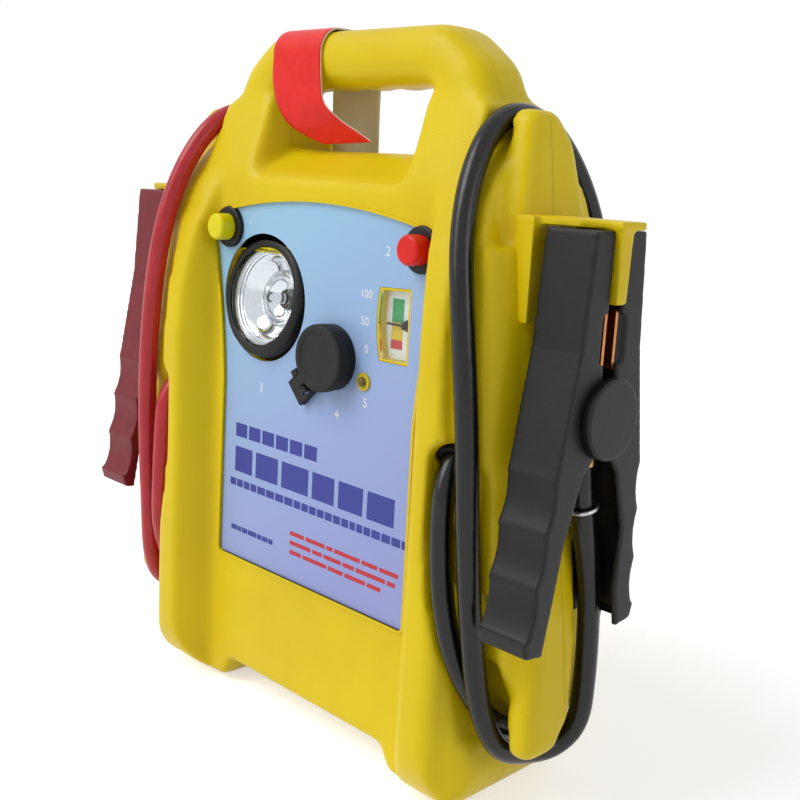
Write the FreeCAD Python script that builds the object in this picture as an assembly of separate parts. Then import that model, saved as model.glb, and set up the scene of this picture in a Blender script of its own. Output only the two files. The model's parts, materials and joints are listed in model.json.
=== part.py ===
"""Portable jump starter: a yellow two-part case with a lamp, a 12 V outlet and two clamp leads.

Origin: on the ground, under the middle of the case. +X is the user's right, -Y the front.
"""
import FreeCAD, Part
import math
import os

V = FreeCAD.Vector
X, Y, Z = V(1, 0, 0), V(0, 1, 0), V(0, 0, 1)

# ---- driving dimensions, in millimetres ------------------------------------------------
WALL = 3.0                  # moulded case wall
SEAM_Y = -7.0               # where the front and rear shells meet
CASE_FRONT = -55.0          # ridge of the front pillars
CASE_BACK = 55.0            # flat of the back
CASE_TOP = 384.0            # top of the handle
PANEL_Y = -33.8             # face of the printed panel
PANEL_T = 0.8               # thickness of the panel sheet
RIM = 1.2                   # depth of the recess that the panel lies in
PANEL_BACKING = 2.5         # wall behind the panel

GRIP_DEPTH = 42.0           # handle, front to back
GROOVE_R, GROOVE_DEPTH = 16.0, 2.2      # finger scallops under the grip
SILL_Z = 322.0              # bottom of the hand hole
GRIP_ROUND = 12.0           # rounding of its four long edges
HOLE_TOP_Z = 354.0          # underside of the grip

CHEEK_TOP_X = 124.0         # outer face of a cheek at its top
CHEEK_TOP_Z = 342.0
CHEEK_LEAN = 0.136          # how far the outer face moves out per millimetre down
CHEEK_T = 12.7              # cheek thickness at its top
CHEEK_INNER_LEAN = 0.136    # lean of its inner face, which keeps the cheek one thickness

CABLE_D = 11.0              # jump lead, over its jacket
GROMMET_R = 8.0

SCREW_R = 1.5
SCREW_HEAD_R = 3.2
SCREW_SINK = 12.0           # how deep the screw heads lie in the back
BOSS_R = 5.5

BATTERY = (181.0, 76.0, 167.0)
BATTERY_PAD = 1.5

LAMP_X, LAMP_Z = -44.4, 240.0
LAMP_HOLE_R = 35.4
LAMP_RING_R = 34.2
LAMP_TILT = 8.0             # resting tilt of the lamp, face upwards, in degrees
TRUNNION_R = 2.5

SOCKET_X, SOCKET_Z = 15.0, 216.0
SOCKET_BORE_R = 10.5
SOCKET_BARREL_R = 13.5
SOCKET_LEN = 44.0
LINER_FRONT, LINER_BACK = 2.2, 34.0     # the liner's ends, behind the panel's face
SOCKET_FLANGE_R = 17.5
CAP_R = 17.8

BUTTON_X, BUTTON_Z = 75.8, 277.0
BEZEL_R = 11.5
BEZEL_PROUD = 3.0
BUTTON_R = 7.4
BUTTON_PROUD = 12.0

GAUGE_X, GAUGE_Z = 58.5, 238.5
GAUGE_W, GAUGE_H = 22.0, 38.0
GAUGE_CASE_DEPTH = 11.0
NEEDLE_X = GAUGE_X + 4      # spindle of the needle
LED_X, LED_Z = 39.5, 207.0
LED_R = 2.5

CLAMP_Y, CLAMP_Z = -14.4, 212.0     # pivot of a clamp
CLAMP_IN, CLAMP_OUT = 146.5, 173.5  # its two sides
CLAMP_WALL = 3.0
CLAMP_PIN_R = 3.0
CLAMP_EYE_R = 10.0
CHEEK_PASS = 160.0          # the front lever is open from here in, where it closes past the cheek
CLAMP_TOP = 293.4
TONGUE_T = 9.6              # holder tongue that the jaws grip
TONGUE_BOTTOM = 262.0
HOLDER_SCREW_R = 2.0
HOLDER_SCREW_Y = -16.0
HOLDER_SCREW_Z = (262.0, 284.0)

TAG_T = 0.8                 # thickness of the soft tag
TAG_SLACK = 0.6             # between the tag and the grip
TAG_LEFT, TAG_RIGHT = -57.0, -18.0

FIT = 0.06                  # running clearance on radius
SLIP = 0.4                  # clearance between pieces that pass each other

# Middle line of the right jump lead, from its battery lug to its clamp. It leaves the pillar,
# goes once round the neck, down the front again and up between the clamp's handles.
LEAD = [(72, 2, 200), (92, -11, 200), (107, -30, 195), (114, -50.5, 177), (114.5, -51.8, 150),
        (117.5, -51, 118), (123.5, -47, 89), (131.5, -34, 62), (134, -14, 45.5),
        (134, 14, 46), (135.5, 36, 65), (134.5, 49.5, 96), (131.5, 53.2, 140), (128, 54, 190),
        (122, 54.4, 240), (115, 51.6, 284), (109.5, 40.5, 314), (106, 18.5, 337.5),
        (105.7, -8, 343.5), (106, -27.5, 334), (109.5, -43, 311), (114.5, -51.5, 283),
        (121.5, -54.2, 249), (128.5, -54, 200), (131.5, -52.2, 150), (134.5, -47.8, 102),
        (139, -43.5, 67), (143.8, -33.5, 46.5), (145.8, -15, 40), (151, 2.5, 39.5), (157.3, 12, 52),
        (157.5, 13, 76), (157.5, 12, 100), (158.5, 7.5, 128), (159.5, -5, 162), (160, -11, 184),
        (160, -11, 197)]

BIG = 400.0


# ---- small helpers ----------------------------------------------------------------------
def flat(plane, a, b):
    """Point on one of the three main planes."""
    return {"xy": V(a, b, 0), "xz": V(a, 0, b), "yz": V(0, a, b)}[plane]


def outline(plane, start, *steps):
    """Face inside a closed outline. A step is a point, or (passed, reached) for an arc."""
    edges, here = [], start
    for step in steps:
        if isinstance(step[0], tuple):
            via, end = step
            edges.append(Part.Arc(flat(plane, *here), flat(plane, *via),
                                  flat(plane, *end)).toShape())
        else:
            end = step
            edges.append(Part.LineSegment(flat(plane, *here), flat(plane, *end)).toShape())
        here = end
    if (flat(plane, *here) - flat(plane, *start)).Length > 1e-6:
        edges.append(Part.LineSegment(flat(plane, *here), flat(plane, *start)).toShape())
    return Part.Face(Part.Wire(edges))


def pull(face, low, high):
    """Extrude a face that lies on a main plane, from low to high along the third axis."""
    normal = max((X, Y, Z), key=lambda n: abs(face.normalAt(0, 0).dot(n)))
    moved = face.copy()
    moved.translate(normal * low)
    return moved.extrude(normal * (high - low))


def box(x0, x1, y0, y1, z0, z1):
    return Part.makeBox(x1 - x0, y1 - y0, z1 - z0, V(x0, y0, z0))


def rod(radius, start, end):
    axis = end - start
    return Part.makeCylinder(radius, axis.Length, start, axis)


def ring(outer, inner, start, end):
    return rod(outer, start, end).cut(rod(inner, start, end))


def fuse(first, *others):
    return first.fuse(list(others)).removeSplitter() if others else first


def mirrored(shape):
    return shape.mirror(V(0, 0, 0), X)


def inset(face, distance):
    if not distance:
        return face
    return face.makeOffset2D(-distance, join=2 if distance < 0 else 0)


def turned(shape, centre, axis, degrees):
    copy = shape.copy()
    copy.rotate(centre, axis, degrees)
    return copy


def at(x, y, z):
    return V(x, y, z)


# ---- case -------------------------------------------------------------------------------
def cheek_x(z):
    """Outer face of the right cheek at height z."""
    return CHEEK_TOP_X + CHEEK_LEAN * (CHEEK_TOP_Z - z)


def plan_face():
    """Pillars and middle seen from above: the pillars stand in front of the panel."""
    rim_y = PANEL_Y - RIM
    right = [(84, rim_y), ((88, rim_y - 8), (97, CASE_FRONT)), (107, CASE_FRONT),
             ((115, -53), (119, -46)), ((130, -30), (132, -20)), (132, 22),
             ((128, 44), (112, CASE_BACK))]
    left = [(-112, CASE_BACK), ((-128, 44), (-132, 22)), (-132, -20),
            ((-130, -30), (-119, -46)), ((-115, -53), (-107, CASE_FRONT)),
            (-97, CASE_FRONT), ((-88, rim_y - 8), (-84, rim_y))]
    return outline("xy", (-84, rim_y), *right, *left)


def side_face():
    """Case seen from the side, below the grip."""
    half = GRIP_DEPTH / 2
    return outline("yz", (-half + 6, 350), (-half, 350), ((-31, 318), (-47, 278)),
                   ((-53.6, 240), (CASE_FRONT, 200)), (CASE_FRONT, 40),
                   ((-46, 14), (-16, 0)), (30, 0), ((48, 6), (CASE_BACK, 24)),
                   (CASE_BACK, 250), ((44, 300), (half, 350)))


def front_face():
    """Case seen from the front, without cheeks or grip."""
    right = [((73, 4), (82, 0)), (104, 0), ((121, 8), (128, 34)), (125, 100), (114, 200),
             (106, 290), (99, 345), (92, 350)]
    left = [(-92, 350), (-99, 345), (-106, 290), (-114, 200), (-125, 100), (-128, 34),
            ((-121, 8), (-104, 0)), (-82, 0), ((-73, 4), (-66, 17))]
    return outline("xz", (-66, 17), (66, 17), *right, *left)


def core(skin):
    """Middle and pillars, moved in by skin."""
    body = pull(inset(plan_face(), skin), -1, BIG)
    body = body.common(pull(inset(side_face(), skin), -BIG, BIG))
    return body.common(pull(inset(front_face(), skin), -BIG, BIG))


def grip(skin):
    """Handle arch, rounded like a bar."""
    half = GRIP_DEPTH / 2 - skin
    outer = outline("xz", (-98.5, 290), (98.5, 290), (98.5, 340), (88, 366), (64, CASE_TOP),
                    (-64, CASE_TOP), (-88, 366), (-98.5, 340))
    hole = outline("xz", (-58, SILL_Z), (58, SILL_Z), (63, 343), (57, HOLE_TOP_Z),
                   (-57, HOLE_TOP_Z), (-63, 343))
    arch = pull(inset(outer, skin), -half, half)
    bends = [e for e in arch.Edges if e.BoundBox.YLength > 1 and e.BoundBox.ZMin > 300]
    arch = arch.makeFillet(22.0 - skin, bends)
    window = pull(inset(hole, -skin), -half - 1, half + 1)
    corners = [e for e in window.Edges if e.BoundBox.YLength > 1]
    window = window.makeFillet(7.0, corners)
    arch = arch.cut(window)
    rims = [e for e in arch.Edges if e.BoundBox.YLength < 1e-3 and e.BoundBox.ZMax > 300]
    return arch.makeFillet(GRIP_ROUND - skin, rims)


def finger_grooves():
    """Shallow scallops under the grip."""
    below = HOLE_TOP_Z - GROOVE_R + GROOVE_DEPTH
    cuts = [rod(GROOVE_R, at(x, -BIG, below), at(x, BIG, below)) for x in (-36, -12, 12, 36)]
    return [c.common(box(-60, 60, -30, 30, HOLE_TOP_Z - 1, HOLE_TOP_Z + 4)) for c in cuts]


def sill_slope(skin):
    """What is cut away, skin deeper, so that the case slopes up to the hand hole."""
    side = outline("yz", (-60, 298 - skin), ((-30, 308 - skin), (-8, SILL_Z - skin)),
                   (8, SILL_Z - skin), ((30, 310 - skin), (60, 298 - skin)), (60, 352), (-60, 352))
    return pull(side, -58 - skin, 58 + skin)


def slanted(offset, side, lean=CHEEK_LEAN):
    """Everything inside (-1) or outside (+1) of the cheek's outer face moved by offset."""
    length = 3 * BIG
    block = box(0, length, -BIG, BIG, -length / 2, length / 2)
    if side < 0:
        block = box(-length, 0, -BIG, BIG, -length / 2, length / 2)
    block.rotate(V(0, 0, 0), Y, -math.degrees(math.atan(lean)))
    block.translate(V(CHEEK_TOP_X + offset, 0, CHEEK_TOP_Z))
    return block


def neck_face():
    """The neck that a lead is wound round, seen from the side."""
    front = [((-30.5, 314.5), (-43.5, 285)), ((-47.3, 225), (-46, 150)), (-42, 112),
             ((-28, 72), (-8, 54)), (12, 54)]
    back = [((30, 74), (42, 112)), (46, 150), ((47.3, 225), (43.5, 285)), ((30.5, 314.5), (6, 333.5))]
    return outline("yz", (-6, 333.5), *front, *back)


def cheek_face():
    """Outer tongue of a cheek, seen from the side, before its corners are rounded."""
    return outline("yz", (-19.5, 344), (1, 344), (13, 331), (21.5, 297), (23, 240), (9, 178),
                   (6, 156), (6, 96), (-1, 60), (-14, 46.5), (-37, 46.5), (-37, 68),
                   (-27.5, 100), (-29, 297))


def fairing(skin):
    """Fills the groove between neck and cheek where no lead passes over it."""
    def level(z):
        inner, outer = cheek_x(z) - 26, cheek_x(z) - 3 - skin
        bend, back = cheek_x(z) - 9 - skin, cheek_x(z) - 9.4 - skin
        points = [(inner, -46 + skin), (bend, -44 + skin), (outer, -30 + skin),
                  (outer, 1 - skin), (back, 8 - skin), (back, 40 - skin), (inner, 46 - skin)]
        return Part.makePolygon([V(x, y, z) for x, y in points + points[:1]])
    return Part.makeLoft([level(112 + skin), level(282 - skin)], True, True)


def wing(skin):
    """Neck and cheek on the right side, moved in by skin."""
    inner_x = 92.0
    seat = pull(inset(neck_face(), skin), inner_x, 2 * CHEEK_TOP_X)
    seat = seat.common(slanted(1 - CHEEK_T - skin, -1, CHEEK_INNER_LEAN))
    cheek = pull(inset(cheek_face(), skin), inner_x, 2 * CHEEK_TOP_X)
    cheek = cheek.makeFillet(8.0 - skin, [e for e in cheek.Edges if e.BoundBox.XLength > 1])
    cheek = cheek.common(slanted(-skin, -1))
    cheek = cheek.common(slanted(-CHEEK_T + skin, 1, CHEEK_INNER_LEAN))
    cheek = cheek.makeFillet(6.0 - skin, [e for e in cheek.Edges if on_cheek_face(e, skin)])
    return fuse(seat, cheek, fairing(skin))


def on_cheek_face(edge, skin):
    """True when both ends of the edge lie on the cheek's outer face, moved in by skin."""
    return all(abs(v.X + skin - cheek_x(v.Z)) < 0.01 for v in edge.Vertexes)


def panel_face():
    """Outline of the recess for the printed panel."""
    return outline("xz", (-75, 84), (75, 84), ((77.1, 84.9), (78, 87)), (77, 190),
                   ((80.6, 228), (88, 270)), ((86.5, 281), (77, 286.5)),
                   ((0, 295), (-77, 286.5)), ((-86.5, 281), (-88, 270)),
                   ((-80.6, 228), (-77, 190)), (-78, 87), ((-77.1, 84.9), (-75, 84)))


def notch(skin):
    """Slot in the pillar's outer front corner that the lead comes out of, skin larger."""
    slot = rod(8.0 + skin, at(114, -70, 184), at(114, -41 + skin, 184))
    slot = slot.fuse(box(106 - skin, 122 + skin, -70, -41 + skin, 150, 184))
    upper = outline("xz", (106 - skin, 184), (160, 184), (160, 110 - skin), (110.5 - skin, 110 - skin),
                    (106 - skin, 150))
    lower = outline("xz", (109 - skin, 124), (160, 124), (160, 20), (129 - skin, 56),
                    (116 - skin, 92))
    lowest = outline("xz", (119 - skin, 92 + skin), (141, 92 + skin), (141, 20), (124 - skin, 46))
    return slot.fuse([pull(upper, -70, -44.5 + skin), pull(lower, -70, -38.5 + skin),
                      pull(lowest, -70, -25 + skin)])


def case_solid(skin):
    """The whole case, filled, moved in by skin."""
    side = wing(skin)
    return fuse(core(skin), grip(skin), side, mirrored(side))


def both(shape):
    return [shape, mirrored(shape)]


def panel_hole(radius, x, z):
    return rod(radius, at(x, PANEL_Y - 30, z), at(x, PANEL_Y + 12, z))


def grommet_ends(half):
    """Ends of a rod, so long each way, where a lead passes through the wall of its notch."""
    inner, outer = V(*LEAD[2]), V(*LEAD[3])
    middle, way = (inner + outer) * 0.5, outer - inner
    way.normalize()
    return middle - way * half, middle + way * half


def bosses():
    """Screw bosses that join the two shells, from inside the front to inside the back."""
    return [(x, z) for z, x_out in ((60, 99), (222, 97), (296, 90)) for x in (-x_out, x_out)]


def shells():
    """Front and rear shells, hollow, with their openings."""
    outside = case_solid(0).cut([sill_slope(0)] + both(notch(0)) + finger_grooves())
    inside = case_solid(WALL).cut([sill_slope(WALL)] + both(notch(WALL)))
    backing = PANEL_Y + PANEL_T + PANEL_BACKING
    inside = inside.cut(box(-92, 92, -60, backing, 76, 300))
    shell = outside.cut(inside)
    cuts = [pull(panel_face(), -70, PANEL_Y + PANEL_T), panel_hole(LAMP_HOLE_R, LAMP_X, LAMP_Z),
            panel_hole(SOCKET_BARREL_R + 0.15, SOCKET_X, SOCKET_Z),
            panel_hole(BEZEL_R - 1.5, BUTTON_X, BUTTON_Z),
            panel_hole(BEZEL_R - 1.5, -BUTTON_X, BUTTON_Z), panel_hole(LED_R + 1, LED_X, LED_Z),
            gauge_block(0, -70, 0)]
    cuts += [rod(BEZEL_R + 0.3, at(x, -70, BUTTON_Z), at(x, PANEL_Y, BUTTON_Z))
             for x in (-BUTTON_X, BUTTON_X)]
    cuts += both(rod(GROMMET_R, *grommet_ends(10)))
    cuts += [hole for one in holder_holes() for hole in both(one)]
    shell = shell.cut(cuts)
    front = shell.common(box(-BIG, BIG, -BIG, SEAM_Y, -BIG, BIG))
    rear = shell.common(box(-BIG, BIG, SEAM_Y, BIG, -BIG, BIG))
    for x, z in bosses():
        post = ring(BOSS_R, SCREW_R, at(x, SEAM_Y, z), at(x, CASE_FRONT, z))
        front = front.fuse(post.common(inside))
        rear = rear.fuse(rod(BOSS_R, at(x, SEAM_Y, z), at(x, CASE_BACK, z)).common(inside))
        rear = rear.cut(rod(SCREW_R + 0.2, at(x, SEAM_Y, z), at(x, 60, z)))
        rear = rear.cut(rod(SCREW_HEAD_R + 0.4, at(x, CASE_BACK - SCREW_SINK, z), at(x, 60, z)))
    return largest(front), largest(rear)


def largest(shape):
    """The main solid, without any sliver that a cut leaves."""
    return max(shape.Solids, key=lambda solid: solid.Volume)


def case_screws():
    """Self-tapping screws driven from the back."""
    made = []
    seat = CASE_BACK - SCREW_SINK
    for x, z in bosses():
        head = rod(SCREW_HEAD_R, at(x, seat, z), at(x, seat + 2.5, z))
        shank = rod(SCREW_R, at(x, seat, z), at(x, SEAM_Y - 14, z))
        slot = box(x - 2.2, x + 2.2, seat + 1.3, seat + 3, z - 0.4, z + 0.4)
        made.append(head.fuse(shank).cut(slot).removeSplitter())
    return Part.makeCompound(made)


# ---- panel ------------------------------------------------------------------------------
def front_label():
    sheet = pull(panel_face(), PANEL_Y, PANEL_Y + PANEL_T)
    sheet = sheet.common(pull(inset(panel_face(), 0.25), PANEL_Y - 1, PANEL_Y + 2))
    cuts = [panel_hole(LAMP_HOLE_R, LAMP_X, LAMP_Z), panel_hole(SOCKET_BARREL_R + 0.15, SOCKET_X, SOCKET_Z),
            panel_hole(BEZEL_R - 1.5, BUTTON_X, BUTTON_Z),
            panel_hole(BEZEL_R - 1.5, -BUTTON_X, BUTTON_Z), panel_hole(LED_R + 1, LED_X, LED_Z),
            gauge_block(0, -70, 0)]
    return sheet.cut(cuts)


def gauge_block(grow, y0, y1):
    """Block with the gauge window's outline, its left side bowed."""
    left, right = GAUGE_X - GAUGE_W / 2 - grow, GAUGE_X + GAUGE_W / 2 + grow
    low, high = GAUGE_Z - GAUGE_H / 2 - grow, GAUGE_Z + GAUGE_H / 2 + grow
    face = outline("xz", (left + 2, low), (right, low), (right, high), (left, high - 1),
                   ((left - 1.2, GAUGE_Z), (left + 2, low)))
    return pull(face, y0, y1)


def gauge_case():
    """Meter housing, open at the front, with a lip behind the wall."""
    back = PANEL_Y + GAUGE_CASE_DEPTH
    body = gauge_block(-SLIP / 2, PANEL_Y + 0.2, back)
    lip = gauge_block(2.5, PANEL_Y + PANEL_T + PANEL_BACKING, PANEL_Y + PANEL_T + PANEL_BACKING + 1.5)
    hollow = gauge_block(-1.4, PANEL_Y - 1, back - 1.5)
    return fuse(body, lip).cut(hollow)


def gauge_dial():
    front = PANEL_Y + GAUGE_CASE_DEPTH - 5.0
    spindle_hole = rod(3.0, at(NEEDLE_X, front - 1, GAUGE_Z), at(NEEDLE_X, front + 2, GAUGE_Z))
    return gauge_block(-1.5, front, front + 1.0).cut(spindle_hole)


def gauge_mount():
    """Small movement behind the dial that carries the needle's spindle."""
    back = PANEL_Y + GAUGE_CASE_DEPTH - 1.5
    return box(GAUGE_X - 6, GAUGE_X + 6, back - 2.5, back, GAUGE_Z - 8, GAUGE_Z + 8).cut(
        rod(0.8, at(NEEDLE_X, back - 3, GAUGE_Z), at(NEEDLE_X, back - 0.6, GAUGE_Z)))


def gauge_needle():
    """Pointer on a spindle that passes through the dial."""
    back = PANEL_Y + GAUGE_CASE_DEPTH - 1.5
    x = NEEDLE_X
    spindle = rod(0.8 - FIT, at(x, back - 6.8, GAUGE_Z), at(x, back - 0.8, GAUGE_Z))
    hub = rod(2.0, at(x, back - 6.0, GAUGE_Z), at(x, back - 4.8, GAUGE_Z))
    blade = box(GAUGE_X - 8, x, back - 5.8, back - 5.0, GAUGE_Z - 0.5, GAUGE_Z + 0.5)
    return fuse(spindle, hub, blade)


def gauge_window():
    return gauge_block(-1.5, PANEL_Y + 0.4, PANEL_Y + 1.9)


def charge_led():
    """Charging light in its clip, down to the board."""
    lens = Part.makeSphere(LED_R, V(LED_X, PANEL_Y - 1.0, LED_Z))
    stem = rod(LED_R, at(LED_X, PANEL_Y - 1.0, LED_Z), at(LED_X, PANEL_Y + 5, LED_Z))
    legs = [rod(0.4, at(LED_X + dx, PANEL_Y + 4, LED_Z), at(LED_X + dx, BOARD_Y, LED_Z))
            for dx in (-1.2, 1.2)]
    return fuse(lens, stem, *legs)


def led_clip():
    collar = ring(LED_R + 2.2, LED_R, at(LED_X, PANEL_Y - 1.0, LED_Z), at(LED_X, PANEL_Y, LED_Z))
    return fuse(collar, ring(LED_R + 1, LED_R, at(LED_X, PANEL_Y - 0.5, LED_Z),
                             at(LED_X, PANEL_Y + 5, LED_Z)))


BOARD_Y = PANEL_Y + GAUGE_CASE_DEPTH    # the board is screwed to the back of the gauge


def circuit_board():
    board = box(28, 86, BOARD_Y, BOARD_Y + 1.6, 204.5, 290)
    parts = [box(34, 46, BOARD_Y + 1.6, BOARD_Y + 9, 222, 234),
             box(50, 66, BOARD_Y + 1.6, BOARD_Y + 6, 246, 258),
             rod(5, at(40, BOARD_Y + 1.6, 262), at(40, BOARD_Y + 13, 262)),
             box(52, 62, BOARD_Y + 1.6, BOARD_Y + 4, 212, 226)]
    hole = rod(BEZEL_R + 0.5, at(BUTTON_X, BOARD_Y - 1, BUTTON_Z), at(BUTTON_X, BOARD_Y + 3, BUTTON_Z))
    socket = rod(SOCKET_BARREL_R + 1.5, at(SOCKET_X, BOARD_Y - 1, SOCKET_Z),
                 at(SOCKET_X, BOARD_Y + 3, SOCKET_Z))
    return fuse(board, *parts).cut([hole, socket])


# ---- push buttons -----------------------------------------------------------------------
def bezel(x):
    """Black collar through the panel, with its nut behind the wall."""
    face = PANEL_Y - BEZEL_PROUD
    collar = rod(BEZEL_R, at(x, face, BUTTON_Z), at(x, PANEL_Y, BUTTON_Z))
    collar = collar.makeFillet(1.4, [e for e in collar.Edges if abs(e.BoundBox.YMax - face) < 0.01])
    barrel = rod(BEZEL_R - 1.5, at(x, PANEL_Y - 1, BUTTON_Z), at(x, -22, BUTTON_Z))
    bore = rod(BUTTON_R + FIT, at(x, -60, BUTTON_Z), at(x, 0, BUTTON_Z))
    return fuse(collar, barrel).cut(bore)


def switch_block(x):
    """Switch that closes off the barrel and takes the button's stem."""
    block = rod(BEZEL_R - 1.5, at(x, -22, BUTTON_Z), at(x, -6, BUTTON_Z))
    tags = [box(x + d - 1, x + d + 1, -6, -1, BUTTON_Z - 2, BUTTON_Z + 2) for d in (-4, 4)]
    return fuse(block, *tags).cut(rod(2.0 + FIT, at(x, -23, BUTTON_Z), at(x, -9, BUTTON_Z)))


def button(x):
    """Domed cap with a stem that runs in the switch."""
    face = PANEL_Y - BUTTON_PROUD
    cap = rod(BUTTON_R, at(x, face, BUTTON_Z), at(x, -27, BUTTON_Z))
    cap = cap.makeFillet(2.0, [e for e in cap.Edges if abs(e.BoundBox.YMax - face) < 0.01])
    return fuse(cap, rod(2.0, at(x, -28, BUTTON_Z), at(x, -14, BUTTON_Z)))


# ---- lamp -------------------------------------------------------------------------------
LAMP_C = V(LAMP_X, PANEL_Y + 7.0, LAMP_Z)       # centre that the lamp tilts about


def spun(centre, start, *steps):
    """Solid of revolution about Y through centre, from an (r, y) outline."""
    face = outline("xy", start, *steps)
    face.translate(centre)
    return face.revolve(centre, Y, 360)


def ball(radius, y):
    return math.sqrt(radius * radius - y * y)


def lamp_bowl():
    """Spherical cup behind the panel's big hole, with bores for the lamp's trunnions."""
    r, wall = LAMP_HOLE_R + 0.2, 2.5
    front = PANEL_Y + PANEL_T + PANEL_BACKING - LAMP_C.y
    out = r + wall
    cup = spun(LAMP_C, (ball(r, front), front), (out + 3, front), (out + 3, front + 2),
               (ball(out, front + 2), front + 2), ((ball(out, 20), 20), (9, ball(out, 9))),
               (9, ball(r, 9)), ((ball(r, 20), 20), (ball(r, front), front)))
    bores = [rod(TRUNNION_R + FIT, LAMP_C + X * (r - 4) * s, LAMP_C + X * (out + 2) * s)
             for s in (-1, 1)]
    cups = [rod(TRUNNION_R + 3, LAMP_C + X * (r - 0.5) * s, LAMP_C + X * (out + 1) * s)
            for s in (-1, 1)]
    hollow = Part.makeSphere(r, LAMP_C)
    collar = panel_hole(BEZEL_R - 0.5, -BUTTON_X, BUTTON_Z)
    ahead = box(LAMP_X - 60, LAMP_X + 60, -60, LAMP_C.y + front, 150, 300)
    return fuse(cup, *[c.cut([hollow, ahead]) for c in cups]).cut(bores + [collar])


def tilted(shape):
    return turned(shape, LAMP_C, X, -LAMP_TILT)


def lamp_housing():
    """Black ring and drum, a zone of a ball so that it can tilt in the bowl."""
    r = LAMP_RING_R + 0.4
    body = spun(LAMP_C, (27.5, -9), (28.4, -9.4), ((r - 2.8, -8.3), (r - 1.3, -5)),
                ((r - 0.4, -2.4), (r, 0)), ((ball(r, 8), 8), (ball(r, 15), 15)), (6.5, 15), (6.5, 13),
                (25.6, 13), (25.6, -5), (27.5, -5))
    pins = [rod(TRUNNION_R, LAMP_C + X * (r - 3) * s, LAMP_C + X * (LAMP_HOLE_R + 2.4) * s)
            for s in (-1, 1)]
    hollow = spun(LAMP_C, (0, -9), (25.6, -9), (25.6, 13), (0, 13))
    return tilted(fuse(body, *[p.cut(hollow) for p in pins]))


def lamp_lens():
    """Clear disc with a shallow dome."""
    disc = rod(27.4, LAMP_C + Y * -7.5, LAMP_C + Y * -5)
    dome = Part.makeSphere(140.0, LAMP_C + Y * (140 - 10.2))
    return tilted(fuse(disc, dome.common(rod(27.4, LAMP_C + Y * -12, LAMP_C + Y * -7.5))))


def lamp_reflector():
    """Thin bright bowl from the lens seat down to the bulb."""
    dish = spun(LAMP_C, (25.4, -4.6), ((16, 6.2), (5.6, 11.6)), (5.6, 12.8), ((16.6, 7.4), (25.5, -3.2)))
    return tilted(dish)


def lamp_bulb():
    glass = rod(3.0, LAMP_C + Y * -1, LAMP_C + Y * 10)
    glass = fuse(glass, Part.makeSphere(3.0, LAMP_C + Y * -1))
    base = fuse(rod(5.4, LAMP_C + Y * 9, LAMP_C + Y * 20), rod(6.4, LAMP_C + Y * 15, LAMP_C + Y * 17))
    return tilted(fuse(glass, base))


# ---- 12 V outlet ------------------------------------------------------------------------
def on_socket(y):
    return V(SOCKET_X, PANEL_Y + y, SOCKET_Z)


CAP_WAY = math.radians(223)                     # the cap's hinge lies down and to the left
CAP_DIR = V(math.cos(CAP_WAY), 0, math.sin(CAP_WAY))
CAP_AXIS = V(-math.sin(CAP_WAY), 0, math.cos(CAP_WAY))
FLANGE_T = 4.0
HINGE_OUT = 22.5                                # hinge line from the outlet's middle
HINGE_C = V(SOCKET_X, PANEL_Y - FLANGE_T - 3.0, SOCKET_Z) + CAP_DIR * HINGE_OUT


def socket_body():
    """Black outlet body: flange, barrel and the square hinge plate."""
    flange = rod(SOCKET_FLANGE_R, on_socket(-FLANGE_T), on_socket(0))
    barrel = rod(SOCKET_BARREL_R, on_socket(-1), on_socket(SOCKET_LEN))
    bore = rod(SOCKET_BORE_R + 0.8, on_socket(-FLANGE_T - 1), on_socket(SOCKET_LEN - 3))
    plate = outline("xz", (12, -7.5), (35, -7.5), (35, 7.5), (12, 7.5))
    plate = pull(plate, PANEL_Y - FLANGE_T, PANEL_Y)
    plate.rotate(V(0, 0, 0), Y, -math.degrees(CAP_WAY))
    plate.translate(V(SOCKET_X, 0, SOCKET_Z))
    lugs = []
    for low, high in ((-7.2, -3.4), (3.4, 7.2)):
        eye = rod(2.8, HINGE_C + CAP_AXIS * low, HINGE_C + CAP_AXIS * high)
        root = rod(2.0, HINGE_C + CAP_AXIS * low, HINGE_C + CAP_AXIS * high)
        root.translate(Y * 2.6)
        lugs += [eye, root]
    pin_hole = rod(1.2, HINGE_C - CAP_AXIS * 12, HINGE_C + CAP_AXIS * 12)
    return fuse(flange, barrel, plate, *lugs).cut([bore, pin_hole])


def socket_liner():
    """Steel sleeve that makes the outlet's bore."""
    return ring(SOCKET_BORE_R + 0.8, SOCKET_BORE_R, on_socket(LINER_FRONT), on_socket(LINER_BACK))


def socket_contact():
    """Sprung centre contact at the bottom of the outlet."""
    stud = rod(3.0, on_socket(SOCKET_LEN - 6), on_socket(SOCKET_LEN - 3))
    tip = Part.makeCone(3.0, 1.5, 2.5, on_socket(SOCKET_LEN - 6), Y * -1)
    return fuse(stud, tip)


def socket_nut():
    start = PANEL_T + PANEL_BACKING
    return ring(SOCKET_FLANGE_R + 1, SOCKET_BARREL_R, on_socket(start), on_socket(start + 4))


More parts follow.
